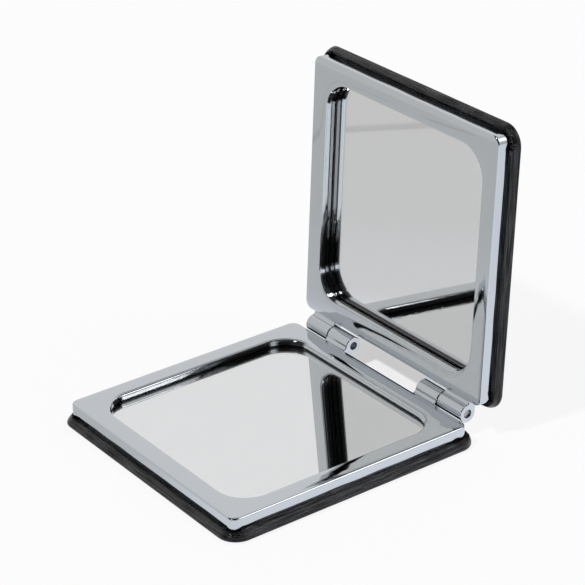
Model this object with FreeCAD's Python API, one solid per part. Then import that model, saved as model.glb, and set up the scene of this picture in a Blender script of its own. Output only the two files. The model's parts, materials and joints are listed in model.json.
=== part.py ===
"""Square compact mirror: two padded halves with chrome frames, joined by a pinned hinge.

Millimetres, +Z up. The base lies on z = 0 with its middle at the origin. X runs along the
hinge, and the hinge is on the +Y side. The lid stands open at opening_angle.
"""

import math
import os

import FreeCAD
import Part

V = FreeCAD.Vector

# Chrome frame
frame_width = 58.0
frame_depth = 57.0
frame_height = 3.3
frame_corner = 1.9
outer_edge_round = 0.35
face_roll_width = 1.5
face_roll_slope = 0.15
member_width = 4.3
window_corner = 6.5
window_edge_round = 0.6
lip_height = 1.6
groove_height = 0.25
groove_depth = 0.4
pocket_step = 0.15

# Mirror
glass_thickness = 0.5
glass_side_clearance = 0.1
silver_thickness = 0.08
mirror_tape_inset = 2.5
lid_mirror_tape_thickness = 0.37

# Padded cover
cover_overhang = 1.6
cover_corner = 4.2
cover_bottom_round = 0.48
rim_crest_out = 0.85
rim_crest_width = 0.3
rim_crest_drop = 2.75
rim_clearance = 0.1
leather_thickness = 0.4
turn_in_thickness = 0.3
turn_in_clearance = 0.2
foam_thickness = 0.3
foam_edge = 0.6
board_thickness = 0.4
bond_tape_thickness = 0.1
bond_tape_inset = 0.8

# Hinge
hinge_offset = 2.5
closed_face_gap = 0.3
barrel_diameter = 3.9
barrel_blend = 0.8
barrel_root = 1.0
barrel_end_chamfer = 0.12
pin_diameter = 1.8
pin_running_clearance = 0.05
pin_end_chamfer = 0.15
pin_outer_recess = 0.4
pin_inner_recess = 2.0
knuckle_end_inset = 3.3
lid_knuckle_length = 7.35
base_knuckle_length = 6.7
knuckle_gap = 0.15
opening_angle = 94.0

# Heights of the layers above the rest face
foam_z = leather_thickness
board_z = foam_z + foam_thickness
turn_in_z = board_z + board_thickness
bond_z = turn_in_z + turn_in_thickness
frame_z = bond_z + bond_tape_thickness
face_z = frame_z + frame_height
lip_z = face_z - lip_height
crest_z = face_z - rim_crest_drop
widest_z = 1.25 * cover_bottom_round

# Fronts of the panes: the base's touches the lip, the lid's lies deeper on a thinner tape
base_glass_z = lip_z
lid_glass_z = turn_in_z + lid_mirror_tape_thickness + silver_thickness + glass_thickness

# Plan sizes that follow from the ones above
window_width = frame_width - 2 * member_width
window_depth = frame_depth - 2 * member_width
glass_reach = pocket_step - glass_side_clearance

# How far the outside of the leather and the padding inside it stand out from the frame
crest_outer = rim_crest_out + rim_crest_width / 2
crest_inner = rim_crest_out - rim_crest_width / 2
rim_lean = (cover_overhang - crest_outer) / (crest_z - widest_z)
skin_width = leather_thickness * math.sqrt(1 + rim_lean ** 2)
padding_low_out = cover_overhang - skin_width
padding_high_out = padding_low_out - rim_lean * (turn_in_z - foam_z)
board_out = padding_high_out - foam_edge

# The frame's face falls away gently, then turns down in a small round
roll_angle = math.atan(face_roll_slope)

# Hinge axis, along X
axis_y = frame_depth / 2 + hinge_offset
axis_z = face_z + closed_face_gap / 2
barrel_radius = barrel_diameter / 2
pin_radius = pin_diameter / 2

# Knuckle ends along the axis, counted from the middle of the hinge
lid_knuckle_far = frame_width / 2 - knuckle_end_inset
lid_knuckle_near = lid_knuckle_far - lid_knuckle_length
base_knuckle_far = lid_knuckle_near - knuckle_gap
base_knuckle_near = base_knuckle_far - base_knuckle_length


def rounded_path(width, depth, corner, height):
    """A level rounded rectangle round the origin, starting in the middle of its +X side."""
    side_x = width / 2
    side_y = depth / 2
    inner_x = side_x - corner
    inner_y = side_y - corner
    slant = corner * math.sqrt(0.5)
    start = V(side_x, 0, height)
    edges = []
    here = start
    for across, along in ((1, 1), (-1, 1), (-1, -1), (1, -1)):
        on_side = V(across * side_x, along * inner_y, height)
        on_end = V(across * inner_x, along * side_y, height)
        turn = V(across * (inner_x + slant), along * (inner_y + slant), height)
        first, last = (on_side, on_end) if across == along else (on_end, on_side)
        edges.append(Part.makeLine(here, first))
        edges.append(Part.Arc(first, turn, last).toShape())
        here = last
    edges.append(Part.makeLine(here, start))
    return Part.Wire(edges)


def rounded_block(width, depth, corner, low, high):
    """An upright block with rounded corners, centred on the origin in plan."""
    outline = rounded_path(width, depth, corner, low)
    return Part.Face(outline).extrude(V(0, 0, high - low)).removeSplitter()


def window_block(out, low, high):
    """A block in the shape of the window, grown by a distance all round."""
    return rounded_block(window_width + 2 * out, window_depth + 2 * out, window_corner + out, low, high)


def cover_path(out, height):
    """The outline that stands out from the frame by a distance, with the cover's corners."""
    corner = cover_corner - cover_overhang + out
    return rounded_path(frame_width + 2 * out, frame_depth + 2 * out, corner, height)


def cover_block(out, low, high):
    """An upright block over one of the cover's outlines."""
    return Part.Face(cover_path(out, low)).extrude(V(0, 0, high - low)).removeSplitter()


def edges_at(shape, height):
    """The edges of a shape that lie level at one height."""
    return [
        edge
        for edge in shape.Edges
        if abs(edge.BoundBox.ZMin - height) < 1e-4 and abs(edge.BoundBox.ZMax - height) < 1e-4
    ]


def rolled_edge(width, depth, corner, side, edge_round):
    """The ring to cut off along an outline so that the face rolls down to it.

    From the flat of the face a wide arc falls to the roll's slope, and a small arc of edge_round goes on
    from there to the wall. side is the way from the outline into the metal, -1 inward and 1 outward.
    """
    edge_width = edge_round * (1 - math.sin(roll_angle))
    roll_radius = (face_roll_width - edge_width) / math.sin(roll_angle)
    roll_drop = roll_radius * (1 - math.cos(roll_angle))
    edge_drop = roll_drop + edge_round * math.cos(roll_angle)
    clear = face_roll_width / 2

    def place(out, drop):
        return V(width / 2 + side * out, 0, face_z - drop)

    def on_roll(angle):
        return place(face_roll_width - roll_radius * math.sin(angle), roll_radius * (1 - math.cos(angle)))

    def on_edge(angle):
        return place(edge_round * (1 - math.sin(angle)), edge_drop - edge_round * math.cos(angle))

    wall = math.pi / 2
    corners = [
        on_edge(wall),
        place(-clear, edge_drop),
        place(-clear, -clear),
        place(face_roll_width, -clear),
        on_roll(0),
    ]
    outline = [
        Part.Arc(on_roll(0), on_roll(roll_angle / 2), on_roll(roll_angle)).toShape(),
        Part.Arc(on_roll(roll_angle), on_edge((roll_angle + wall) / 2), on_edge(wall)).toShape(),
    ]
    for first, last in zip(corners, corners[1:]):
        outline.append(Part.makeLine(first, last))
    path = rounded_path(width, depth, corner, face_z)
    return path.makePipeShell([Part.Wire(outline)], True, False)


def knuckle(start, end):
    """One hinge knuckle: a barrel whose root runs into the frame's back wall, blended to its face."""
    shoulder_z = face_z - face_roll_width * face_roll_slope / 2
    reach = barrel_radius + barrel_blend
    blend_z = shoulder_z + barrel_blend
    blend_y = axis_y - math.sqrt(reach ** 2 - (blend_z - axis_z) ** 2)
    root_y = frame_depth / 2 - barrel_root
    share = barrel_radius / reach
    on_face = V(start, blend_y, shoulder_z)
    on_barrel = V(start, axis_y + (blend_y - axis_y) * share, axis_z + (blend_z - axis_z) * share)
    barrel_turn = math.atan2(on_barrel.z - blend_z, on_barrel.y - blend_y)
    middle_turn = 0.5 * (barrel_turn - math.pi / 2)
    middle_y = blend_y + barrel_blend * math.cos(middle_turn)
    middle_z = blend_z + barrel_blend * math.sin(middle_turn)
    back = V(start, axis_y + barrel_radius, axis_z)
    below = V(start, axis_y, axis_z - barrel_radius)
    root_low = V(start, root_y, axis_z - barrel_radius)
    root_high = V(start, root_y, shoulder_z)
    outline = [
        Part.Arc(on_face, V(start, middle_y, middle_z), on_barrel).toShape(),
        Part.Arc(on_barrel, back, below).toShape(),
        Part.makeLine(below, root_low),
        Part.makeLine(root_low, root_high),
        Part.makeLine(root_high, on_face),
    ]
    solid = Part.Face(Part.Wire(outline)).extrude(V(end - start, 0, 0))
    rims = [
        edge
        for edge in solid.Edges
        if isinstance(edge.Curve, Part.Circle) and abs(edge.Curve.Radius - barrel_radius) < 1e-6
    ]
    return solid.makeChamfer(barrel_end_chamfer, rims)


def hinge_bore(radius):
    """A rod along the whole hinge axis, for cutting the bores."""
    length = frame_width
    return Part.makeCylinder(radius, length, V(-length / 2, axis_y, axis_z), V(1, 0, 0))


def frame(near, far, bore_radius):
    """Chrome frame with a rounded window, a groove and a pocket behind its lip, and two knuckles."""
    solid = rounded_block(frame_width, frame_depth, frame_corner, frame_z, face_z)
    solid = solid.cut(window_block(0, lip_z, face_z))
    solid = solid.cut(window_block(groove_depth, lip_z - groove_height, lip_z))
    solid = solid.cut(window_block(pocket_step, frame_z, lip_z))
    solid = solid.cut(rolled_edge(frame_width, frame_depth, frame_corner, -1, outer_edge_round))
    solid = solid.cut(rolled_edge(window_width, window_depth, window_corner, 1, window_edge_round))
    for start, end in ((near, far), (-far, -near)):
        solid = solid.fuse(knuckle(start, end))
    return solid.cut(hinge_bore(bore_radius)).removeSplitter()


def hinge_pin(side):
    """Plain pin, pressed into the base knuckle and free to turn in the lid knuckle."""
    near = base_knuckle_near + pin_inner_recess
    length = lid_knuckle_far - pin_outer_recess - near
    start = V(side * near, axis_y, axis_z)
    rod = Part.makeCylinder(pin_radius, length, start, V(side, 0, 0))
    ends = [edge for edge in rod.Edges if isinstance(edge.Curve, Part.Circle)]
    return rod.makeChamfer(pin_end_chamfer, ends)


def mirror_glass(front_z):
    """Clear pane in the frame's pocket, with its front at a height."""
    return window_block(glass_reach, front_z - glass_thickness, front_z)


def mirror_silver(back_z):
    """Silvered and painted coat on the back of the pane."""
    return window_block(glass_reach, back_z - silver_thickness, back_z)


def mirror_tape(coat_z):
    """Foam tape pad that sticks the coated pane to the board."""
    return window_block(glass_reach - mirror_tape_inset, turn_in_z, coat_z)


def turn_in_opening(low, high):
    """The opening inside the turned-in leather edge, a little larger than the glass pocket."""
    return window_block(pocket_step + turn_in_clearance, low, high)


def bond_tape():
    """Ring of tape that sticks the frame to the turned-in leather."""
    inset = 2 * bond_tape_inset
    ring = rounded_block(frame_width - inset, frame_depth - inset, frame_corner, bond_z, frame_z)
    return ring.cut(turn_in_opening(bond_z, frame_z))


def padding_space():
    """The space inside the leather that the board and the foam fill, narrower at the top."""
    low = cover_path(padding_low_out, foam_z)
    high = cover_path(padding_high_out, turn_in_z)
    return Part.makeLoft([low, high], True, True)


def board():
    """Stiff board that the foam and the leather are wrapped round."""
    return cover_block(board_out, board_z, turn_in_z)


def foam():
    """Thin foam sheet under the board and round its edge."""
    return padding_space().cut(board())


def cover():
    """Leather skin round the padding. It leans in to a crest round the frame and is turned in under it."""
    bottom = cover_block(cover_overhang, 0, widest_z)
    bottom = bottom.makeFillet(cover_bottom_round, edges_at(bottom, 0))
    widest = cover_path(cover_overhang, widest_z)
    leaning = Part.makeLoft([widest, cover_path(crest_outer, crest_z)], True, True)
    seat_width = frame_width + 2 * rim_clearance
    seat_depth = frame_depth + 2 * rim_clearance
    seat = rounded_path(seat_width, seat_depth, frame_corner + rim_clearance, bond_z)
    hollow = Part.makeLoft([seat, cover_path(crest_inner, crest_z)], True, True)
    solid = bottom.fuse(leaning).cut(hollow)
    return solid.cut(padding_space()).cut(turn_in_opening(turn_in_z, bond_z))


def opened(shape):
    """Places a half that was built like the base as the opened lid."""
    placed = shape.copy()
    centre = V(0, axis_y, axis_z)
    placed.rotate(centre, V(0, 0, 1), 180)
    placed.rotate(centre, V(1, 0, 0), 180 - opening_angle)
    return placed


def half(near, far, bore_radius, glass_z):
    """The named pieces of one half, lying face up. glass_z is the height of the pane's front."""
    back_z = glass_z - glass_thickness
    return {
        "frame": frame(near, far, bore_radius),
        "mirror_glass": mirror_glass(glass_z),
        "mirror_silver": mirror_silver(back_z),
        "mirror_tape": mirror_tape(back_z - silver_thickness),
        "bond_tape": bond_tape(),
        "board": board(),
        "foam": foam(),
        "cover": cover(),
    }


def pieces():
    """Every piece of the compact by name, in its place."""
    found = {}
    for name, shape in half(base_knuckle_near, base_knuckle_far, pin_radius, base_glass_z).items():
        found["base_" + name] = shape
    lid_bore = pin_radius + pin_running_clearance
    for name, shape in half(lid_knuckle_near, lid_knuckle_far, lid_bore, lid_glass_z).items():
        found["lid_" + name] = opened(shape)
    found["hinge_pin_left"] = hinge_pin(-1)
    found["hinge_pin_right"] = hinge_pin(1)
    return found


os.makedirs("parts", exist_ok=True)
for piece_name, piece_shape in pieces().items():
    piece_shape.exportStep("parts/" + piece_name + ".step")
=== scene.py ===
"""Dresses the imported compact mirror: leather covers, chrome, mirrors, hinge pins and a studio stage."""

import json
import math

import bpy
import numpy as np
from bpy.props import FloatProperty, FloatVectorProperty, IntProperty, PointerProperty
from mathutils import Matrix, Vector


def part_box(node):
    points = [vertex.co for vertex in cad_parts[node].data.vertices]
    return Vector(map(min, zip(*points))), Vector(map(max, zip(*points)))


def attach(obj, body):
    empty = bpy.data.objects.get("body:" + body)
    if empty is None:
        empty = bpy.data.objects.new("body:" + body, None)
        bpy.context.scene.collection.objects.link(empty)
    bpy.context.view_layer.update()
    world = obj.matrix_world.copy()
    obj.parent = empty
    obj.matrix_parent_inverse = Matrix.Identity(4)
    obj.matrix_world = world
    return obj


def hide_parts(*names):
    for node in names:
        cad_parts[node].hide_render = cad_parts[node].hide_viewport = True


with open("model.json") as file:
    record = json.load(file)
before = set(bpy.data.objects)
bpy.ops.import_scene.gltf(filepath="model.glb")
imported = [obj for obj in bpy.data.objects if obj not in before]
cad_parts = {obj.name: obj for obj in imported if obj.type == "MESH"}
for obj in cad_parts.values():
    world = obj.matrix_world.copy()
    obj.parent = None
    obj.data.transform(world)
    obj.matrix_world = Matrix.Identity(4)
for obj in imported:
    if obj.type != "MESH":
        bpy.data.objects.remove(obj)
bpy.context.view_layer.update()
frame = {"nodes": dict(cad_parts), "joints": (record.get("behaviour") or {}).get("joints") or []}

bl_info = {
    "name": "Compact mirror dressing",
    "version": (1, 0, 0),
    "blender": (4, 5, 0),
    "location": "View3D > Sidebar > Compact",
    "description": "Builds the leather covers and finishes of a square compact mirror",
    "category": "Object",
}

MM = 0.001
HINGE = frame["joints"][0]
HINGE_POINT = Vector(HINGE["pos_m"])
OPENING = math.radians(HINGE["range_deg"][1])
COVER_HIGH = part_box("base_cover")[1]
CHROME_LOW, CHROME_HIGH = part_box("base_frame")
BOARD_LOW, BOARD_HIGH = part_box("base_board")
FOAM_LOW, FOAM_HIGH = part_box("base_foam")
PANE_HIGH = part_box("base_mirror_glass")[1]
TAPE_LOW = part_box("base_bond_tape")[0]
BODIES = ("base", "lid")

# Half of the gap between the two chrome faces when shut, and the height of the base's chrome face
HALF_GAP = 0.15 * MM
FACE_HEIGHT = HINGE_POINT.z - HALF_GAP

# Half the width of the flat cap in the middle of every ring grid
CAP_HALF = 4 * MM

# How far each cover's crest leans along x and y, and the seed of its folds
CREST_SWAYS = {"base": (0.25 * MM, 0.14 * MM), "lid": (-0.08 * MM, 0.05 * MM)}
FOLD_SEEDS = {"base": 3, "lid": 11}

# The direction of the small front light
FRONT_LIGHT = (-0.05, -0.57, 0.82)

# Settings


class CoverSettings(bpy.types.PropertyGroup):
    """Sizes and colours of the padded leather covers."""

    corner: FloatProperty(
        name="Corner radius",
        description="Radius of the cover's outline at its corners",
        default=4.2 * MM,
        unit="LENGTH",
    )
    skin: FloatProperty(
        name="Leather thickness",
        description="Thickness of the leather",
        default=0.4 * MM,
        unit="LENGTH",
    )
    crest: FloatProperty(
        name="Crest distance",
        description="Distance of the rim's crest from the chrome",
        default=0.85 * MM,
        unit="LENGTH",
    )
    widest: FloatProperty(
        name="Widest height",
        description="Height of the rim's outermost line above the rest face",
        default=0.6 * MM,
        unit="LENGTH",
    )
    bulge: FloatProperty(
        name="Rim bulge",
        description="How far the rim's outside swells from a straight slope",
        default=0.13 * MM,
        unit="LENGTH",
    )
    crease: FloatProperty(
        name="Crease depth",
        description="Depth of the fine creases along the rim's outside",
        default=0.05 * MM,
        unit="LENGTH",
    )
    gather: FloatProperty(
        name="Gather height",
        description="Height of the small folds where the leather is gathered at the corners",
        default=0.26 * MM,
        unit="LENGTH",
    )
    ripple: FloatProperty(
        name="Ripple height",
        description="Height of the slow unevenness along the rim",
        default=0.04 * MM,
        unit="LENGTH",
    )
    crown: FloatProperty(
        name="Face crown",
        description="How far the padded face falls away towards its edges",
        default=0.12 * MM,
        unit="LENGTH",
    )
    per_side: IntProperty(
        name="Points on a side",
        description="Grid points along each straight side",
        default=120,
    )
    per_corner: IntProperty(
        name="Points on a corner",
        description="Grid points round each corner",
        default=64,
    )
    colour: FloatVectorProperty(
        name="Leather colour",
        description="Colour of the leather",
        default=(0.005, 0.005, 0.0055),
        subtype="COLOR",
    )


class MetalSettings(bpy.types.PropertyGroup):
    """Colours of the chrome, the silvering and the hinge pins."""

    chrome: FloatVectorProperty(
        name="Chrome colour",
        description="Reflectance of the chrome plate",
        default=(0.622, 0.655, 0.678),
        subtype="COLOR",
    )
    silver: FloatVectorProperty(
        name="Silver colour",
        description="Reflectance of the silvering behind the panes",
        default=(0.93, 0.935, 0.93),
        subtype="COLOR",
    )
    pane_corner: FloatProperty(
        name="Pane corner radius",
        description="Radius of the mirror panes at their corners",
        default=6.55 * MM,
        unit="LENGTH",
    )
    # The groove looks dark because of painted shade in the chrome's colour, not because the metal is dark
    # there
    groove: FloatProperty(
        name="Groove height",
        description="Height of the dark groove under the window's lip",
        default=0.25 * MM,
        unit="LENGTH",
    )
    steel: FloatVectorProperty(
        name="Pin colour",
        description="Reflectance of the steel pins",
        default=(0.42, 0.42, 0.43),
        subtype="COLOR",
    )


class StageSettings(bpy.types.PropertyGroup):
    """Camera, floor and light."""

    azimuth: FloatProperty(
        name="Camera azimuth",
        description="Angle of the camera round the object",
        default=math.radians(54.411),
        subtype="ANGLE",
    )
    elevation: FloatProperty(
        name="Camera elevation",
        description="Angle of the camera above the floor",
        default=math.radians(26.572),
        subtype="ANGLE",
    )
    roll: FloatProperty(
        name="Camera roll",
        description="Turn of the camera about its own view line",
        default=math.radians(-1.578),
        subtype="ANGLE",
    )
    distance: FloatProperty(
        name="Camera distance",
        description="Distance from the camera to the point it looks at",
        default=459.57 * MM,
        unit="LENGTH",
    )
    aim: FloatVectorProperty(
        name="Camera aim",
        description="The point in the middle of the picture",
        default=(0.0, 7.325 * MM, 29.515 * MM),
        subtype="TRANSLATION",
    )
    lens: FloatProperty(
        name="Lens",
        description="Focal length on a 36 mm wide sensor, in millimetres",
        default=143.39,
    )
    floor: FloatProperty(
        name="Floor brightness",
        description="Brightness of the floor",
        default=0.9,
        subtype="FACTOR",
    )
    floor_glow: FloatProperty(
        name="Floor glow",
        description="Share of plain white in the floor that the camera sees",
        default=0.88,
        subtype="FACTOR",
    )
    shade_glow: FloatProperty(
        name="Glow by the hinge",
        description="Share of plain white in the floor close to the hinge, where its shadow is kept",
        default=0.35,
        subtype="FACTOR",
    )


# Shared shapes


def settings():
    """The scene's settings of this dressing."""
    return bpy.context.scene.compact_mirror


def add_object(name, points, faces, material, smooth=True):
    """Makes a mesh object at the origin from an array of points and a list of faces."""
    mesh = bpy.data.meshes.new(name)
    mesh.from_pydata(points.tolist(), [], faces)
    mesh.update()
    mesh.polygons.foreach_set("use_smooth", np.full(len(mesh.polygons), smooth))
    mesh.materials.append(material)
    made = bpy.data.objects.new(name, mesh)
    bpy.context.scene.collection.objects.link(made)
    return made


def outline_turns(per_side, per_corner):
    """Directions round a rounded rectangle.

    Returns the outward angle of every point and the signs of the corner centre that it belongs to.
    On a corner the angle turns by a quarter; on a side it stays and the signs run to the next corner.
    """
    angles = []
    signs_x = []
    signs_y = []
    corners = ((1, 1), (-1, 1), (-1, -1), (1, -1))
    bend = np.linspace(0.0, 1.0, per_corner, endpoint=False)
    run = np.linspace(0.0, 1.0, per_side, endpoint=False)
    for index, (sign_x, sign_y) in enumerate(corners):
        next_x, next_y = corners[(index + 1) % 4]
        angles.append((index + bend) * math.pi / 2)
        signs_x.append(np.full(per_corner, float(sign_x)))
        signs_y.append(np.full(per_corner, float(sign_y)))
        angles.append(np.full(per_side, (index + 1) * math.pi / 2))
        signs_x.append(sign_x + (next_x - sign_x) * run)
        signs_y.append(sign_y + (next_y - sign_y) * run)
    return np.concatenate(angles), np.concatenate(signs_x), np.concatenate(signs_y)


def rings(half_width, half_depth, corner, turns):
    """Points of many nested rounded rectangles: x = sx (w - r) + r cos a, y = sy (d - r) + r sin a.

    The sizes are columns with a row for each ring, or grids that also vary along the outline.
    """
    angle, sign_x, sign_y = turns
    x = sign_x * (half_width - corner) + corner * np.cos(angle)
    y = sign_y * (half_depth - corner) + corner * np.sin(angle)
    return x, y


def closed_skin(x, y, z):
    """Faces of a ring grid that is closed round its outline and capped at its first and last ring."""
    ring_count, point_count = x.shape
    index = np.arange(ring_count * point_count).reshape(ring_count, point_count)
    here = index[:-1]
    there = index[1:]
    quads = np.stack(
        [here, np.roll(here, -1, axis=1), np.roll(there, -1, axis=1), there], axis=-1
    ).reshape(-1, 4)
    points = np.stack([x, y, z], axis=-1).reshape(-1, 3)
    first_cap = index[0][::-1].tolist()
    last_cap = index[-1].tolist()
    return points, quads.tolist() + [first_cap, last_cap]


def lid_place():
    """The turn about the hinge that takes points of the base to where the lid has them."""
    half_turn = Matrix.Rotation(math.pi, 4, "Z")
    raise_lid = Matrix.Rotation(math.pi - OPENING, 4, "X")
    move = Matrix.Translation(HINGE_POINT)
    return move @ raise_lid @ half_turn @ move.inverted()


def half_place(body):
    """Where a half stands, for points that are given as in the base."""
    return lid_place() if body == "lid" else Matrix.Identity(4)


def placed(points, body):
    """Takes points that are given as in the base to a half."""
    place = np.array(half_place(body))
    return points @ place[:3, :3].T + place[:3, 3]


def heights_in_half(name, body):
    """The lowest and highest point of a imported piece, measured as in the base."""
    mesh = frame["nodes"][name].data
    points = np.empty(len(mesh.vertices) * 3)
    mesh.vertices.foreach_get("co", points)
    back = np.array(half_place(body).inverted())
    height = points.reshape(-1, 3) @ back[2, :3] + back[2, 3]
    return height.min(), height.max()


def smooth_path(knots, steps):
    """Points on a smooth curve through the knots: a Catmull-Rom spline with equal steps per span."""
    knots = np.asarray(knots, float)
    padded = np.vstack([2 * knots[0] - knots[1], knots, 2 * knots[-1] - knots[-2]])
    t = np.linspace(0.0, 1.0, steps, endpoint=False)[:, None, None]
    a, b, c, d = padded[:-3], padded[1:-2], padded[2:-1], padded[3:]
    curve = 0.5 * (2 * b + (c - a) * t + (2 * a - 5 * b + 4 * c - d) * t**2 + (3 * b - a - 3 * c + d) * t**3)
    return np.vstack([curve.transpose(1, 0, 2).reshape(-1, 2), knots[-1:]])


def wander(length, waves, seed):
    """A smooth uneven line along a closed path of n points: a sum of whole waves with seeded phases."""
    rng = np.random.default_rng(seed)
    place = np.linspace(0.0, 2 * math.pi, length, endpoint=False)
    counts = np.arange(1, waves + 1)[:, None]
    phase = rng.uniform(0, 2 * math.pi, (waves, 1))
    size = rng.normal(0, 1, (waves, 1)) / np.sqrt(waves)
    return (size * np.cos(counts * place + phase)).sum(axis=0)


def risen(value, start, width):
    """0 up to the start, then a straight rise to 1 over the width."""
    return np.clip((value - start) / width, 0, 1)


def bell(value, middle, width):
    """A bell curve: 1 at the middle, falling off over the width."""
    return np.exp(-(((value - middle) / width) ** 2))


# Leather, foam and glass


def rim_profile(cover):
    """The leather's outside from the middle of the face, round the rim, to the edge tucked under the chrome.

    Columns are the offset from the cover's outline, negative inwards, and the height above the rest face.
    The face turns up at a tight edge, swells and leans in to a narrow crest, and falls again to the foot of
    the chrome. The swell is a parabola on a straight slope.
    """
    top = COVER_HIGH.z
    foot = CHROME_LOW.z
    reach = COVER_HIGH.x - CHROME_HIGH.x
    tuck = COVER_HIGH.x - PANE_HIGH.x
    inner = COVER_HIGH.x - CAP_HALF
    crest = reach - cover.crest
    widest = cover.widest
    slope = np.array([-0.9 * crest, 0.96 * top - widest])
    outward = np.array([slope[1], -slope[0]]) / np.linalg.norm(slope)
    share = np.linspace(0.0, 1.0, 5)[1:, None]
    swell = 4 * cover.bulge * share * (1 - share)
    leaning = np.array([0.0, widest]) + share * slope + swell * outward
    face = smooth_path([(-inner, 0.0), (-0.5 * inner, 0.0), (-9 * MM, 0.03 * cover.crown)], 5)[:-1]
    rim = smooth_path(
        [
            (-9 * MM, 0.03 * cover.crown),
            (-5 * MM, 0.35 * cover.crown),
            (-2.4 * MM, cover.crown),
            (-1.0 * MM, 1.6 * cover.crown),
            (-0.4 * MM, 0.48 * widest),
            (-0.1 * MM, 0.72 * widest),
            (0.0, widest),
            *leaning.tolist(),
            (-crest, top),
            (-crest - 0.07 * MM, top),
            (-crest - 0.14 * MM, top - 0.02 * MM),
            (-crest - 0.24 * MM, top - 0.06 * MM),
            (-crest - 0.36 * MM, top - 0.14 * MM),
            (-reach + 0.2 * MM, foot + 0.15 * MM),
            (-reach + 0.03 * MM, foot + 0.02 * MM),
            (-reach - 0.1 * MM, foot - 0.1 * MM),
        ],
        6,
    )
    flap = np.array([(-tuck + 0.3 * MM, TAPE_LOW.z - 0.01 * MM), (-tuck, TAPE_LOW.z - 0.1 * MM)])
    return np.vstack([face, rim, flap])


def lining_profile(cover):
    """The leather's inside, from the tucked edge back round the padding to the middle of the face."""
    skin = cover.skin
    tuck = COVER_HIGH.x - PANE_HIGH.x
    inner = COVER_HIGH.x - CAP_HALF
    turned = BOARD_HIGH.z + 0.01 * MM
    padding = COVER_HIGH.x - FOAM_HIGH.x
    return np.array(
        [
            (-tuck, turned),
            (-2.0 * padding, turned),
            (-padding + 0.02 * MM, skin),
            (-2.4 * MM, skin),
            (-5 * MM, skin),
            (-inner, skin),
        ]
    )


def corner_share(turns, spread):
    """How near every outline point is to the middle of a corner: 1 there, 0 beyond the spread."""
    _, sign_x, sign_y = turns
    along = (1 - np.abs(sign_x)) + (1 - np.abs(sign_y))
    return bell(along, 0.0, spread)


def rim_folds(profile, turns, cover, seed):
    """Heights of the folds on the rim.

    Gathers are ridges across the inner side of the upper rim, close together at the corners. Ripples run
    along the rim, and fine creases follow three lines on its outside, coming and going. A sharper one follows
    the crest. Heights and the three lines are shares of the rim's height.
    """
    count = len(turns[0])
    ring = np.arange(len(profile))[:, None]
    offset = profile[:, :1]
    height = profile[:, 1:] / COVER_HIGH.z
    reach = COVER_HIGH.x - CHROME_HIGH.x
    deepest = 1.6 * cover.crease
    inside = risen(-offset, 0.6 * MM, 0.4 * MM)
    outside = risen(offset, -0.8 * MM, 0.2 * MM)
    free = risen(offset, -reach, 0.45 * MM)
    near = corner_share(turns, spread=0.12)
    ridges = wander(count, 130, seed) + 0.5 * wander(count, 220, seed + 1)
    cross = np.sin(ring * 0.9 + 2.0 * wander(count, 60, seed + 2))
    gathers = cover.gather * risen(height, 0.6, 0.3) * inside * free * near * (0.75 * ridges + 0.45 * cross)
    ripples = cover.ripple * risen(height, 0.15, 0.5) * wander(count, 40, seed + 3)
    creases = 0.0
    for number, (line, width) in enumerate(((0.34, 0.03), (0.52, 0.04), (0.72, 0.03))):
        drift = line + 0.03 * wander(count, 9, seed + 20 + number)
        depth = np.clip(0.7 + 0.5 * wander(count, 24, seed + 30 + number), 0, 1)
        creases = creases - deepest * depth * outside * bell(height, drift, width)
    fold = reach - cover.crest + 0.12 * MM + 0.05 * MM * wander(count, 14, seed + 8)
    depth = np.clip(0.8 + 0.5 * wander(count, 30, seed + 9), 0, 1)
    crest = -deepest * depth * risen(height, 0.85, 0.1) * bell(offset, -fold, 0.09 * MM)
    return gathers + ripples + creases + crest


def crest_sway(profile, turns, cover, sway):
    """How far the crest leans out: sway x times cos a plus sway y times sin a, most at the top.

    The angle a is the outward direction of the outline.
    """
    reach = COVER_HIGH.x - CHROME_HIGH.x
    high = risen(profile[:, 1:] / COVER_HIGH.z, 0.3, 0.7)
    free = risen(profile[:, :1], -reach, cover.crest)
    return high * free * (sway[0] * np.cos(turns[0]) + sway[1] * np.sin(turns[0]))


def profile_normals(profile):
    """Unit normals of the profile, to the outside of the leather."""
    along = np.gradient(profile, axis=0)
    length = np.linalg.norm(along, axis=1, keepdims=True) + 1e-12
    along = along / length
    return np.stack([along[:, 1], -along[:, 0]], axis=1)


def cover_skin(cover, seed, sway):
    """The closed leather skin of one cover, as a ring grid over the outline and the profile."""
    turns = outline_turns(cover.per_side, cover.per_corner)
    outer = rim_profile(cover)
    lining = lining_profile(cover)
    profile = np.vstack([outer, lining])
    count = len(outer)
    offset = np.repeat(profile[:, :1], len(turns[0]), axis=1)
    offset[:count] += crest_sway(outer, turns, cover, sway)
    corner = np.maximum(cover.corner + profile[:, :1], 0.35 * MM)
    x, y = rings(COVER_HIGH.x + offset, COVER_HIGH.y + offset, corner, turns)
    z = np.repeat(profile[:, 1:], x.shape[1], axis=1)
    normal = profile_normals(outer)
    folds = rim_folds(outer, turns, cover, seed)
    x[:count] += folds * normal[:, :1] * np.cos(turns[0])
    y[:count] += folds * normal[:, :1] * np.sin(turns[0])
    z[:count] += folds * normal[:, 1:]
    return closed_skin(x, y, np.maximum(z, 0.0))


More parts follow.
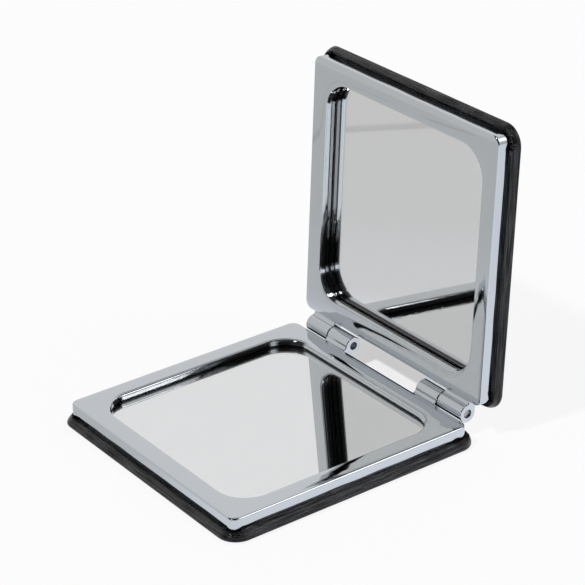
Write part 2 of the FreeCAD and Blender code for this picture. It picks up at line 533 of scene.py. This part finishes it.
def rim_place(cover):
    """A place for every point of a cover's skin: a ring of the outline's length, and the profile's length.

    With s the share of the way round and L the length of the outline, x = L cos(2 pi s) / (2 pi) and
    y = L sin(2 pi s) / (2 pi). The height is the way along the profile from its outermost point, negative
    towards the face.
    """
    turns = outline_turns(cover.per_side, cover.per_corner)
    profile = np.vstack([rim_profile(cover), lining_profile(cover)])
    x, y = rings(COVER_HIGH.x, COVER_HIGH.y, cover.corner, turns)
    step = np.hypot(np.roll(x, -1) - x, np.roll(y, -1) - y)
    length = step.sum()
    turn = 2 * math.pi * (np.cumsum(step) - step) / length
    climb = np.hypot(*np.diff(profile, axis=0, prepend=profile[:1]).T)
    way = np.cumsum(climb)
    way = np.repeat((way - way[np.argmax(profile[:, 0])])[:, None], len(turn), axis=1)
    around = np.stack([np.cos(turn), np.sin(turn)]) * length / (2 * math.pi)
    ring = np.repeat(around[:, None, :], len(profile), axis=1)
    return np.stack([ring[0], ring[1], way], axis=-1).reshape(-1, 3)


def foam_sheet(cover):
    """Thin padding under the board with an upturned edge: a ring grid over a tray-shaped profile."""
    turns = outline_turns(per_side=24, per_corner=12)
    gap = 0.03 * MM
    low = FOAM_LOW.z + gap
    high = FOAM_HIGH.z - gap
    inner = FOAM_HIGH.x - CAP_HALF
    edge = FOAM_HIGH.x - BOARD_HIGH.x
    profile = np.array(
        [
            (-inner, low),
            (-0.3 * MM, low),
            (-0.06 * MM, low + 0.03 * MM),
            (-0.5 * MM, high),
            (-edge + gap, high),
            (-edge + gap, BOARD_LOW.z - gap),
            (-inner, BOARD_LOW.z - gap),
        ]
    )
    offset = profile[:, :1]
    corner = np.maximum(cover.corner - cover.skin + offset, 0.3 * MM)
    x, y = rings(FOAM_HIGH.x + offset, FOAM_HIGH.y + offset, corner, turns)
    z = np.repeat(profile[:, 1:], x.shape[1], axis=1)
    return closed_skin(x, y, z)


def mirror_pane(body):
    """Glass pane with ground edges: a ring grid over a flat profile, clear of the lip and the silvering.

    The third result is 1 for every face of the ground edge and 0 for the others.
    """
    turns = outline_turns(per_side=12, per_corner=40)
    gap = 0.01 * MM
    ground = 0.08 * MM
    low, high = heights_in_half(body + "_mirror_glass", body)
    low += gap
    high -= gap
    inner = PANE_HIGH.x - CAP_HALF
    profile = np.array(
        [
            (-inner, low),
            (-ground, low),
            (0.0, low + ground),
            (0.0, high - ground),
            (-ground, high),
            (-inner, high),
        ]
    )
    offset = profile[:, :1]
    corner = np.maximum(settings().metal.pane_corner + offset, 0.5 * MM)
    x, y = rings(PANE_HIGH.x + offset, PANE_HIGH.y + offset, corner, turns)
    z = np.repeat(profile[:, 1:], x.shape[1], axis=1)
    at_edge = (offset[:, 0] == 0.0).astype(int)
    strips = np.maximum(at_edge[:-1], at_edge[1:])
    edge = np.concatenate([np.repeat(strips, x.shape[1]), [0, 0]])
    return *closed_skin(x, y, z), edge


# Materials


def new_material(name):
    """An empty node material with its output and main shader."""
    material = bpy.data.materials.new(name)
    material.use_nodes = True
    nodes = material.node_tree.nodes
    nodes.clear()
    output = nodes.new("ShaderNodeOutputMaterial")
    shader = nodes.new("ShaderNodeBsdfPrincipled")
    material.node_tree.links.new(shader.outputs["BSDF"], output.inputs["Surface"])
    return material, nodes, material.node_tree.links, shader


def put(links, value, socket):
    """Sets a socket to a number, or links it to the socket that gives the number."""
    if isinstance(value, float):
        socket.default_value = value
    else:
        links.new(value, socket)


def calculated(nodes, links, operation, first, second=0.0, third=0.0):
    """One Math node on numbers or sockets."""
    made = nodes.new("ShaderNodeMath")
    made.operation = operation
    for socket, value in zip(made.inputs, (first, second, third)):
        put(links, value, socket)
    return made.outputs["Value"]


def ranged(nodes, links, source, low, high, start=0.0, end=1.0, kind="LINEAR"):
    """Maps a value between start and end to a range, along a straight line or a soft step."""
    span = nodes.new("ShaderNodeMapRange")
    span.interpolation_type = kind
    put(links, start, span.inputs["From Min"])
    put(links, end, span.inputs["From Max"])
    put(links, low, span.inputs["To Min"])
    put(links, high, span.inputs["To Max"])
    links.new(source, span.inputs["Value"])
    return span.outputs["Result"]


def mixed(nodes, links, share, first, second, way="MIX"):
    """Mixes two colours by a share; each colour is a tuple or a socket."""
    mix = nodes.new("ShaderNodeMix")
    mix.data_type = "RGBA"
    mix.blend_type = way
    put(links, share, mix.inputs["Factor"])
    for colour, socket in ((first, mix.inputs["A"]), (second, mix.inputs["B"])):
        if isinstance(colour, tuple):
            socket.default_value = (*colour, 1.0)
        else:
            links.new(colour, socket)
    return mix.outputs["Result"]


def bumped(nodes, links, height, distance, under=None, strength=1.0, invert=False):
    """The normal of a surface with a relief, on top of the relief under it."""
    bump = nodes.new("ShaderNodeBump")
    bump.invert = invert
    bump.inputs["Strength"].default_value = strength
    bump.inputs["Distance"].default_value = distance
    links.new(height, bump.inputs["Height"])
    if under is not None:
        links.new(under, bump.inputs["Normal"])
    return bump.outputs["Normal"]


def object_noise(nodes, links, scale, detail):
    """A noise pattern on object coordinates; the scale counts cells per metre."""
    place = nodes.new("ShaderNodeTexCoord")
    noise = nodes.new("ShaderNodeTexNoise")
    noise.inputs["Scale"].default_value = scale
    noise.inputs["Detail"].default_value = detail
    links.new(place.outputs["Object"], noise.inputs["Vector"])
    return noise.outputs["Fac"]


def drawn_noise(nodes, links, place, cells, detail):
    """A noise pattern with its own count of cells per metre along each axis."""
    stretch = nodes.new("ShaderNodeMapping")
    stretch.inputs["Scale"].default_value = cells
    links.new(place, stretch.inputs["Vector"])
    noise = nodes.new("ShaderNodeTexNoise")
    noise.inputs["Scale"].default_value = 1.0
    noise.inputs["Detail"].default_value = detail
    links.new(stretch.outputs["Vector"], noise.inputs["Vector"])
    return noise.outputs["Fac"]


def rim_streaks(nodes, links):
    """Fine wrinkles in the leather that run along the rim, drawn out along the outline; 0.5 on the face."""
    face_end = -2.2 * MM
    rim_start = -1.2 * MM
    place = nodes.new("ShaderNodeAttribute")
    place.attribute_name = "rim_place"
    streaks = drawn_noise(nodes, links, place.outputs["Vector"], (170.0, 170.0, 4200.0), 3.0)
    split = nodes.new("ShaderNodeSeparateXYZ")
    links.new(place.outputs["Vector"], split.inputs["Vector"])
    at_rim = ranged(nodes, links, split.outputs["Z"], 0.0, 1.0, face_end, rim_start)
    uneven = calculated(nodes, links, "SUBTRACT", streaks, 0.5)
    return calculated(nodes, links, "MULTIPLY_ADD", uneven, at_rim, 0.5)


def leather_material():
    """Glossy black leather: small pebbles, fine pores, wrinkles along the rim and an uneven shine."""
    pebble_height = 0.06 * MM
    pore_height = 0.02 * MM
    wrinkle_height = 0.1 * MM
    material, nodes, links, shader = new_material("black_leather")
    shader.inputs["Base Color"].default_value = (*settings().cover.colour, 1.0)
    streaks = rim_streaks(nodes, links)
    shine = ranged(nodes, links, streaks, 0.15, 0.8, 0.35, 0.65)
    links.new(shine, shader.inputs["Specular IOR Level"])
    place = nodes.new("ShaderNodeTexCoord")
    pebbles = nodes.new("ShaderNodeTexVoronoi")
    pebbles.feature = "SMOOTH_F1"
    pebbles.inputs["Scale"].default_value = 2600.0
    pebbles.inputs["Smoothness"].default_value = 0.6
    links.new(place.outputs["Object"], pebbles.inputs["Vector"])
    pores = object_noise(nodes, links, 5200.0, 3.0)
    patches = object_noise(nodes, links, 260.0, 2.0)
    links.new(ranged(nodes, links, patches, 0.06, 0.2), shader.inputs["Roughness"])
    normal = bumped(nodes, links, pebbles.outputs["Distance"], pebble_height, invert=True)
    normal = bumped(nodes, links, pores, pore_height, normal, strength=0.25)
    normal = bumped(nodes, links, streaks, wrinkle_height, normal)
    links.new(normal, shader.inputs["Normal"])
    return material


def half_coordinates(nodes, links, body):
    """Object coordinates turned back to where the half would lie as the base."""
    place = nodes.new("ShaderNodeTexCoord")
    turn = nodes.new("ShaderNodeMapping")
    turn.vector_type = "TEXTURE"
    turn.inputs["Location"].default_value = half_place(body).to_translation()
    turn.inputs["Rotation"].default_value = half_place(body).to_euler()
    links.new(place.outputs["Object"], turn.inputs["Vector"])
    return turn.outputs["Vector"]


def window_share(nodes, links, split):
    """1 over the window and its walls, 0 further out."""
    margin = 0.6 * MM
    across = calculated(nodes, links, "COMPARE", split.outputs["X"], 0.0, PANE_HIGH.x + margin)
    along = calculated(nodes, links, "COMPARE", split.outputs["Y"], 0.0, PANE_HIGH.y + margin)
    return calculated(nodes, links, "MULTIPLY", across, along)


def groove_shade_share(nodes, links, split, window, body):
    """How much painted shade darkens the recess between the window's lip and the pane: most under the lip,
    and 0 elsewhere.
    """
    lip = PANE_HIGH.z
    groove = settings().metal.groove
    # How far the painted shade climbs up the lip wall above the lip's foot
    shadow = 0.28 * MM if body == "base" else 0.03 * MM
    depth = max(groove, lip - heights_in_half(body + "_mirror_glass", body)[1])
    middle = float(lip + (shadow - depth) / 2)
    recess = calculated(nodes, links, "COMPARE", split.outputs["Z"], middle, float(shadow + depth) / 2)
    # Lower in the recess, the painted shade grows towards the hinge side
    hinge_start = PANE_HIGH.y - 3 * MM
    hinge_end = PANE_HIGH.y - 0.5 * MM
    deep = ranged(nodes, links, split.outputs["Y"], 0.5, 0.9, hinge_start, hinge_end)
    under_lip = lip - groove
    lowest = lip - 1.5 * groove
    sunk = ranged(nodes, links, split.outputs["Z"], 0.95, deep, under_lip, lowest, "SMOOTHSTEP")
    dark = calculated(nodes, links, "MULTIPLY", recess, sunk)
    return calculated(nodes, links, "MULTIPLY", dark, window)


def wall_relief(nodes, links, place, split, window):
    """Height of the window's walls: rounded off at the top, drawn back at the foot, streaked by casting."""
    level = split.outputs["Z"]
    wall_top = FACE_HEIGHT - 0.5 * MM
    roundness = 3.6
    depth = ranged(nodes, links, level, 0.0, 1.0, wall_top, PANE_HIGH.z)
    bend = calculated(nodes, links, "MULTIPLY", depth, depth)
    streaks = drawn_noise(nodes, links, place, (420.0, 420.0, 2800.0), 2.0)
    fade = ranged(nodes, links, level, 0.0, 0.45, FACE_HEIGHT - 0.1 * MM, wall_top)
    rough = calculated(nodes, links, "MULTIPLY", streaks, fade)
    edge = ranged(nodes, links, level, 0.0, 1.0, FACE_HEIGHT - 0.6 * MM, FACE_HEIGHT - 0.12 * MM)
    fall = calculated(nodes, links, "POWER", edge, 2.0)
    round_off = calculated(nodes, links, "MULTIPLY_ADD", fall, -roundness, roundness)
    height = calculated(nodes, links, "SUBTRACT", rough, bend)
    height = calculated(nodes, links, "ADD", height, round_off)
    return calculated(nodes, links, "MULTIPLY", height, window)


def crown_height(nodes, links, split):
    """Height of the frame's slightly crowned members: a parabola across each, highest along its middle."""
    half_member = 2.1 * MM
    blend = 2 * MM
    across = calculated(nodes, links, "ABSOLUTE", split.outputs["X"])
    along = calculated(nodes, links, "ABSOLUTE", split.outputs["Y"])
    across = calculated(nodes, links, "SUBTRACT", across, PANE_HIGH.x + half_member)
    along = calculated(nodes, links, "SUBTRACT", along, PANE_HIGH.y + half_member)
    offset = calculated(nodes, links, "SMOOTH_MAX", across, along, blend)
    offset = calculated(nodes, links, "DIVIDE", offset, half_member)
    square = calculated(nodes, links, "MULTIPLY", offset, offset)
    return calculated(nodes, links, "MULTIPLY", square, -1.0)


def chrome_material(body):
    """Bright chrome plate: a mirror finish, faintly wavy and wiped, with streaked walls and painted shade
    darkening the recess.
    """
    crown = 0.035 * MM
    wave = 0.02 * MM
    wall_depth = 0.055 * MM
    # Near-black colour of the painted shade in the recess under the lip
    recess_shade_colour = (0.02, 0.02, 0.022)
    material, nodes, links, shader = new_material(body + "_chrome_plate")
    shader.inputs["Metallic"].default_value = 1.0
    place = half_coordinates(nodes, links, body)
    split = nodes.new("ShaderNodeSeparateXYZ")
    links.new(place, split.inputs["Vector"])
    window = window_share(nodes, links, split)
    # Painted shade: the recess under the lip is darkened in the chrome's colour
    recess = groove_shade_share(nodes, links, split, window, body)
    tone = mixed(nodes, links, recess, tuple(settings().metal.chrome), recess_shade_colour)
    links.new(tone, shader.inputs["Base Color"])
    wipes = object_noise(nodes, links, 420.0, 4.0)
    links.new(ranged(nodes, links, wipes, 0.02, 0.075), shader.inputs["Roughness"])
    waves = object_noise(nodes, links, 70.0, 1.0)
    walls = wall_relief(nodes, links, place, split, window)
    normal = bumped(nodes, links, crown_height(nodes, links, split), crown)
    normal = bumped(nodes, links, waves, wave, normal)
    normal = bumped(nodes, links, walls, wall_depth, normal)
    links.new(normal, shader.inputs["Normal"])
    return material


def silver_material():
    """Silvering behind the pane: an almost perfect mirror."""
    material, nodes, links, shader = new_material("mirror_silver")
    shader.inputs["Base Color"].default_value = (*settings().metal.silver, 1.0)
    shader.inputs["Metallic"].default_value = 1.0
    haze = object_noise(nodes, links, 180.0, 3.0)
    links.new(ranged(nodes, links, haze, 0.0, 0.02), shader.inputs["Roughness"])
    return material


def glass_material():
    """Clear float glass with the least green tint."""
    material, nodes, links, shader = new_material("clear_glass")
    shader.inputs["Transmission Weight"].default_value = 1.0
    shader.inputs["IOR"].default_value = 1.5
    shader.inputs["Roughness"].default_value = 0.0
    patches = object_noise(nodes, links, 60.0, 1.0)
    tint = mixed(nodes, links, patches, (0.988, 0.992, 0.992), (0.992, 0.992, 0.992))
    links.new(tint, shader.inputs["Base Color"])
    return material


def steel_material():
    """Drawn steel of the pins, with fine marks."""
    material, nodes, links, shader = new_material("pin_steel")
    shader.inputs["Base Color"].default_value = (*settings().metal.steel, 1.0)
    shader.inputs["Metallic"].default_value = 1.0
    marks = object_noise(nodes, links, 2500.0, 2.0)
    links.new(ranged(nodes, links, marks, 0.22, 0.4), shader.inputs["Roughness"])
    return material


def plain_material(name, low, high, roughness, scale):
    """A dull layer whose colour varies between two tones; the scale counts specks per metre."""
    material, nodes, links, shader = new_material(name)
    specks = object_noise(nodes, links, scale, 3.0)
    links.new(mixed(nodes, links, specks, low, high), shader.inputs["Base Color"])
    shader.inputs["Roughness"].default_value = roughness
    return material


def finish_node(name, material):
    """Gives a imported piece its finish."""
    node = frame["nodes"][name]
    node.data.materials.clear()
    node.data.materials.append(material)


# Building steps


class COMPACT_OT_covers(bpy.types.Operator):
    """Builds the leather cover of the base and of the lid."""

    bl_idname = "compact.covers"
    bl_label = "Leather covers"

    def execute(self, context):
        cover = settings().cover
        material = leather_material()
        for body in BODIES:
            points, faces = cover_skin(cover, FOLD_SEEDS[body], CREST_SWAYS[body])
            skin = add_object(body + "_leather_cover", placed(points, body), faces, material)
            place = skin.data.attributes.new("rim_place", "FLOAT_VECTOR", "POINT")
            place.data.foreach_set("vector", rim_place(cover).ravel())
            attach(skin, body)
            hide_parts(body + "_cover")
        return {"FINISHED"}


class COMPACT_OT_padding(bpy.types.Operator):
    """Builds the foam sheet inside each cover."""

    bl_idname = "compact.padding"
    bl_label = "Foam padding"

    def execute(self, context):
        cover = settings().cover
        material = plain_material(
            "padding_foam", (0.10, 0.10, 0.10), (0.15, 0.15, 0.15), roughness=0.9, scale=1500.0
        )
        for body in BODIES:
            points, faces = foam_sheet(cover)
            pad = add_object(body + "_foam_sheet", placed(points, body), faces, material)
            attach(pad, body)
            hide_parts(body + "_foam")
        return {"FINISHED"}


class COMPACT_OT_chrome(bpy.types.Operator):
    """Finishes both chrome frames."""

    bl_idname = "compact.chrome"
    bl_label = "Chrome frames"

    def execute(self, context):
        for body in BODIES:
            finish_node(body + "_frame", chrome_material(body))
        return {"FINISHED"}


class COMPACT_OT_mirrors(bpy.types.Operator):
    """Finishes the panes and their silvering."""

    bl_idname = "compact.mirrors"
    bl_label = "Mirrors"

    def execute(self, context):
        glass = glass_material()
        ground = plain_material(
            "ground_edge", (0.006, 0.008, 0.008), (0.01, 0.012, 0.012), roughness=0.5, scale=4000.0
        )
        silver = silver_material()
        for body in BODIES:
            points, faces, edge = mirror_pane(body)
            pane = add_object(body + "_glass_pane", placed(points, body), faces, glass, smooth=False)
            pane.data.materials.append(ground)
            pane.data.polygons.foreach_set("material_index", edge)
            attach(pane, body)
            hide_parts(body + "_mirror_glass")
            finish_node(body + "_mirror_silver", silver)
        return {"FINISHED"}


class COMPACT_OT_inside(bpy.types.Operator):
    """Finishes the boards, tapes and hinge pins."""

    bl_idname = "compact.inside"
    bl_label = "Boards, tapes and pins"

    def execute(self, context):
        board = plain_material(
            "grey_board", (0.36, 0.34, 0.31), (0.46, 0.44, 0.40), roughness=0.85, scale=3000.0
        )
        foam_tape = plain_material(
            "foam_tape", (0.78, 0.78, 0.75), (0.86, 0.86, 0.83), roughness=0.7, scale=2200.0
        )
        film_tape = plain_material(
            "film_tape", (0.74, 0.70, 0.60), (0.82, 0.78, 0.68), roughness=0.5, scale=900.0
        )
        for body in BODIES:
            finish_node(body + "_board", board)
            finish_node(body + "_mirror_tape", foam_tape)
            finish_node(body + "_bond_tape", film_tape)
        steel = steel_material()
        for side in ("left", "right"):
            finish_node("hinge_pin_" + side, steel)
        return {"FINISHED"}


# Stage


def floor_ramp(nodes, links, towards, low, high, stops):
    """A colour that changes along one direction on the floor, between two distances from the middle."""
    place = nodes.new("ShaderNodeTexCoord")
    dot = nodes.new("ShaderNodeVectorMath")
    dot.operation = "DOT_PRODUCT"
    dot.inputs[1].default_value = (*towards, 0.0)
    links.new(place.outputs["Object"], dot.inputs[0])
    ramp = nodes.new("ShaderNodeValToRGB")
    ramp.color_ramp.interpolation = "EASE"
    while len(ramp.color_ramp.elements) < len(stops):
        ramp.color_ramp.elements.new(1.0)
    for element, (distance, colour) in zip(ramp.color_ramp.elements, stops):
        element.position = (distance - low) / (high - low)
        element.color = (*colour, 1.0)
    links.new(ranged(nodes, links, dot.outputs["Value"], 0.0, 1.0, low, high), ramp.inputs["Fac"])
    return ramp.outputs["Color"]


def floor_painted_light(nodes, links):
    """The floor's painted light and shade, as the metal sees it.

    It is painted greyer, as in shade, in front on the left, white with a blue touch, as where light falls,
    behind on the right, and crossed by one soft dark line far out on the left. The stops are distances in
    metres, each with its tone.
    """
    # Painted shade: the floor's glow is greyer towards this side, and brighter, as if lit, away from it
    shaded_side = (-0.79, -0.61)
    line_side = (-0.977, -0.214)
    full = (1.0, 1.0, 1.0)
    dimmed = (0.78, 0.78, 0.78)
    tones = (
        (-0.15, (0.86, 0.89, 0.98)),
        (-0.03, (0.95, 0.97, 1.04)),
        (0.0, (0.85, 0.87, 0.93)),
        (0.036, (0.61, 0.62, 0.64)),
        (0.09, (0.565, 0.57, 0.575)),
        (0.18, (0.56, 0.56, 0.555)),
        (0.3, (0.64, 0.64, 0.63)),
    )
    dips = ((0.1475, full), (0.15, dimmed), (0.152, dimmed), (0.156, full))
    plain = floor_ramp(nodes, links, shaded_side, -0.15, 0.3, tones)
    line = floor_ramp(nodes, links, line_side, 0.14, 0.17, dips)
    return mixed(nodes, links, 1.0, plain, line, "MULTIPLY")


def open_floor(nodes, links, stage):
    """How white the floor shows to the camera: less close to the hinge, where its shadow is kept."""
    shaded = (-7 * MM, HINGE_POINT.y + 5 * MM, 0.0)
    place = nodes.new("ShaderNodeTexCoord")
    away = nodes.new("ShaderNodeVectorMath")
    away.operation = "DISTANCE"
    away.inputs[1].default_value = shaded
    links.new(place.outputs["Object"], away.inputs[0])
    near = 12 * MM
    far = 26 * MM
    return ranged(
        nodes, links, away.outputs["Value"], stage.shade_glow, stage.floor_glow, near, far, "SMOOTHSTEP"
    )


def floor_material(stage):
    """Pale floor that keeps its shadow: almost white to the camera, and in the metal a glow of painted light
    and shade.
    """
    # Share of the glow of painted light and shade that the metal sees in the floor
    painted_glow_share = 0.85
    material = bpy.data.materials.new("studio_floor")
    material.use_nodes = True
    nodes = material.node_tree.nodes
    links = material.node_tree.links
    nodes.clear()
    output = nodes.new("ShaderNodeOutputMaterial")
    paint = nodes.new("ShaderNodeBsdfDiffuse")
    paint.inputs["Color"].default_value = (stage.floor, stage.floor, stage.floor, 1.0)
    path = nodes.new("ShaderNodeLightPath")
    white = nodes.new("ShaderNodeEmission")
    # Glow of painted light and shade on the floor, which only the metal sees
    painted_glow = nodes.new("ShaderNodeEmission")
    links.new(floor_painted_light(nodes, links), painted_glow.inputs["Color"])
    white_share = open_floor(nodes, links, stage)
    under = paint.outputs["BSDF"]
    for ray, glow, share in (("Is Camera Ray", white, white_share), ("Is Glossy Ray", painted_glow, painted_glow_share)):
        seen = calculated(nodes, links, "MULTIPLY", path.outputs[ray], share)
        mix = nodes.new("ShaderNodeMixShader")
        links.new(seen, mix.inputs["Fac"])
        links.new(under, mix.inputs[1])
        links.new(glow.outputs["Emission"], mix.inputs[2])
        under = mix.outputs["Shader"]
    links.new(under, output.inputs["Surface"])
    return material


def add_floor(stage):
    """A wide square floor under the object, a hair below its rest face."""
    half = 3.0
    low = -0.02 * MM
    points = np.array([(-half, -half, low), (half, -half, low), (half, half, low), (-half, half, low)])
    floor = add_object("floor", points, [[0, 1, 2, 3]], floor_material(stage), smooth=False)


def camera_axes(stage):
    """The camera's right, up and back directions."""
    back = Vector(
        (
            math.sin(stage.azimuth) * math.cos(stage.elevation),
            -math.cos(stage.azimuth) * math.cos(stage.elevation),
            math.sin(stage.elevation),
        )
    )
    level = Vector((0, 0, 1)).cross(back).normalized()
    rise = back.cross(level)
    right = level * math.cos(stage.roll) + rise * math.sin(stage.roll)
    up = rise * math.cos(stage.roll) - level * math.sin(stage.roll)
    return right, up, back


def add_camera(stage):
    """The camera of the picture."""
    right, up, back = camera_axes(stage)
    data = bpy.data.cameras.new("camera")
    data.sensor_width = 36.0
    data.lens = stage.lens
    data.clip_start = 0.01
    data.clip_end = 50.0
    camera = bpy.data.objects.new("camera", data)
    bpy.context.scene.collection.objects.link(camera)
    turn = Matrix((right, up, back)).transposed().to_4x4()
    camera.matrix_world = Matrix.Translation(Vector(stage.aim) + back * stage.distance) @ turn
    bpy.context.scene.camera = camera


def direction_spot(nodes, links, towards, inner, outer):
    """A soft round patch of the surroundings: 1 within the inner angle of a direction, 0 beyond the outer."""
    place = nodes.new("ShaderNodeTexCoord")
    dot = nodes.new("ShaderNodeVectorMath")
    dot.operation = "DOT_PRODUCT"
    dot.inputs[1].default_value = Vector(towards).normalized()
    links.new(place.outputs["Generated"], dot.inputs[0])
    start = math.cos(math.radians(outer))
    end = math.cos(math.radians(inner))
    return ranged(nodes, links, dot.outputs["Value"], 0.0, 1.0, start, end, "SMOOTHSTEP")


def studio_tone(nodes, links, stage):
    """The tone of the studio in every direction.

    Soft round patches lie one over the other on a plain grey. Each has a direction, its inner and outer angle
    in degrees and its tone.
    """
    panel_side = (0.45, 0.52, 0.73)
    _, _, camera_side = camera_axes(stage)
    patches = {
        "wall behind": ((-0.73, 0.52, 0.5), 12, 55, (0.80, 0.80, 0.81)),
        "wall beside": ((-0.73, -0.5, 0.45), 14, 34, (0.68, 0.68, 0.685)),
        "dark ceiling": ((0.0, 0.0, 1.0), 34, 46, (0.06, 0.06, 0.062)),
        "bright panel": (panel_side, 14, 26, (1.7, 1.7, 1.74)),
        "core of the panel": (panel_side, 2, 4.5, (6.0, 6.0, 6.1)),
        "dark room in front": ((0.2, -0.9, 0.3), 25, 48, (0.03, 0.03, 0.032)),
        "dark corner above the room": ((0.0, -0.6, 0.8), 25, 33, (0.04, 0.04, 0.042)),
        "dark opening at the camera": (camera_side, 18, 34, (0.012, 0.012, 0.012)),
        "small front light": (FRONT_LIGHT, 2.5, 4.5, (24.0, 24.0, 24.5)),
    }
    tone = (0.56, 0.56, 0.57)
    for towards, inner, outer, colour in patches.values():
        share = direction_spot(nodes, links, towards, inner, outer)
        tone = mixed(nodes, links, share, tone, colour)
    return tone


def add_surroundings(stage):
    """The studio, which shows in the metal and lights the object; the camera itself sees plain white."""
    world = bpy.data.worlds.new("studio")
    world.use_nodes = True
    bpy.context.scene.world = world
    nodes = world.node_tree.nodes
    links = world.node_tree.links
    nodes.clear()
    output = nodes.new("ShaderNodeOutputWorld")
    sky = nodes.new("ShaderNodeBackground")
    white = nodes.new("ShaderNodeBackground")
    white.inputs["Color"].default_value = (1, 1, 1, 1)
    white.inputs["Strength"].default_value = 1.0
    links.new(studio_tone(nodes, links, stage), sky.inputs["Color"])
    path = nodes.new("ShaderNodeLightPath")
    mix = nodes.new("ShaderNodeMixShader")
    links.new(path.outputs["Is Camera Ray"], mix.inputs["Fac"])
    links.new(sky.outputs["Background"], mix.inputs[1])
    links.new(white.outputs["Background"], mix.inputs[2])
    links.new(mix.outputs["Shader"], output.inputs["Surface"])


def add_lamp(name, towards, strength, spread):
    """A distant lamp that shines from a direction and leaves shadow edges as soft as its spread."""
    data = bpy.data.lights.new(name, "SUN")
    data.energy = strength
    data.angle = math.radians(spread)
    lamp = bpy.data.objects.new(name, data)
    bpy.context.scene.collection.objects.link(lamp)
    lamp.location = 0.5 * Vector(towards).normalized()
    lamp.rotation_mode = "QUATERNION"
    lamp.rotation_quaternion = (-Vector(towards)).to_track_quat("-Z", "Y")
    lamp.visible_glossy = False


class COMPACT_OT_stage(bpy.types.Operator):
    """Sets up the floor, the light and the camera."""

    bl_idname = "compact.stage"
    bl_label = "Studio stage"

    def execute(self, context):
        stage = settings().stage
        context.scene.view_settings.view_transform = "Standard"
        add_floor(stage)
        add_camera(stage)
        add_surroundings(stage)
        add_lamp("front_lamp", FRONT_LIGHT, strength=1.5, spread=4.0)
        return {"FINISHED"}


# Add-on


class CompactSettings(bpy.types.PropertyGroup):
    """All settings of the compact mirror."""

    cover: PointerProperty(type=CoverSettings)
    metal: PointerProperty(type=MetalSettings)
    stage: PointerProperty(type=StageSettings)


OPERATORS = (
    COMPACT_OT_stage,
    COMPACT_OT_covers,
    COMPACT_OT_padding,
    COMPACT_OT_chrome,
    COMPACT_OT_mirrors,
    COMPACT_OT_inside,
)


class COMPACT_PT_panel(bpy.types.Panel):
    """Lists the building steps and the main sizes."""

    bl_idname = "COMPACT_PT_panel"
    bl_label = "Compact mirror"
    bl_space_type = "VIEW_3D"
    bl_region_type = "UI"
    bl_category = "Compact"

    def draw(self, context):
        for operator in OPERATORS:
            self.layout.operator(operator.bl_idname)
        for group in ("cover", "metal", "stage"):
            box = self.layout.box()
            chosen = getattr(settings(), group)
            for name in chosen.__annotations__:
                box.prop(chosen, name)


CLASSES = (CoverSettings, MetalSettings, StageSettings, CompactSettings, *OPERATORS, COMPACT_PT_panel)


def register():
    """Adds the settings, the steps and the panel."""
    for item in CLASSES:
        bpy.utils.register_class(item)
    bpy.types.Scene.compact_mirror = PointerProperty(type=CompactSettings)


def unregister():
    """Takes them away again."""
    del bpy.types.Scene.compact_mirror
    for item in reversed(CLASSES):
        bpy.utils.unregister_class(item)


def main():
    """Builds every piece."""
    register()
    bpy.ops.compact.stage()
    bpy.ops.compact.covers()
    bpy.ops.compact.padding()
    bpy.ops.compact.chrome()
    bpy.ops.compact.mirrors()
    bpy.ops.compact.inside()


if __name__ == "__main__":
    main()
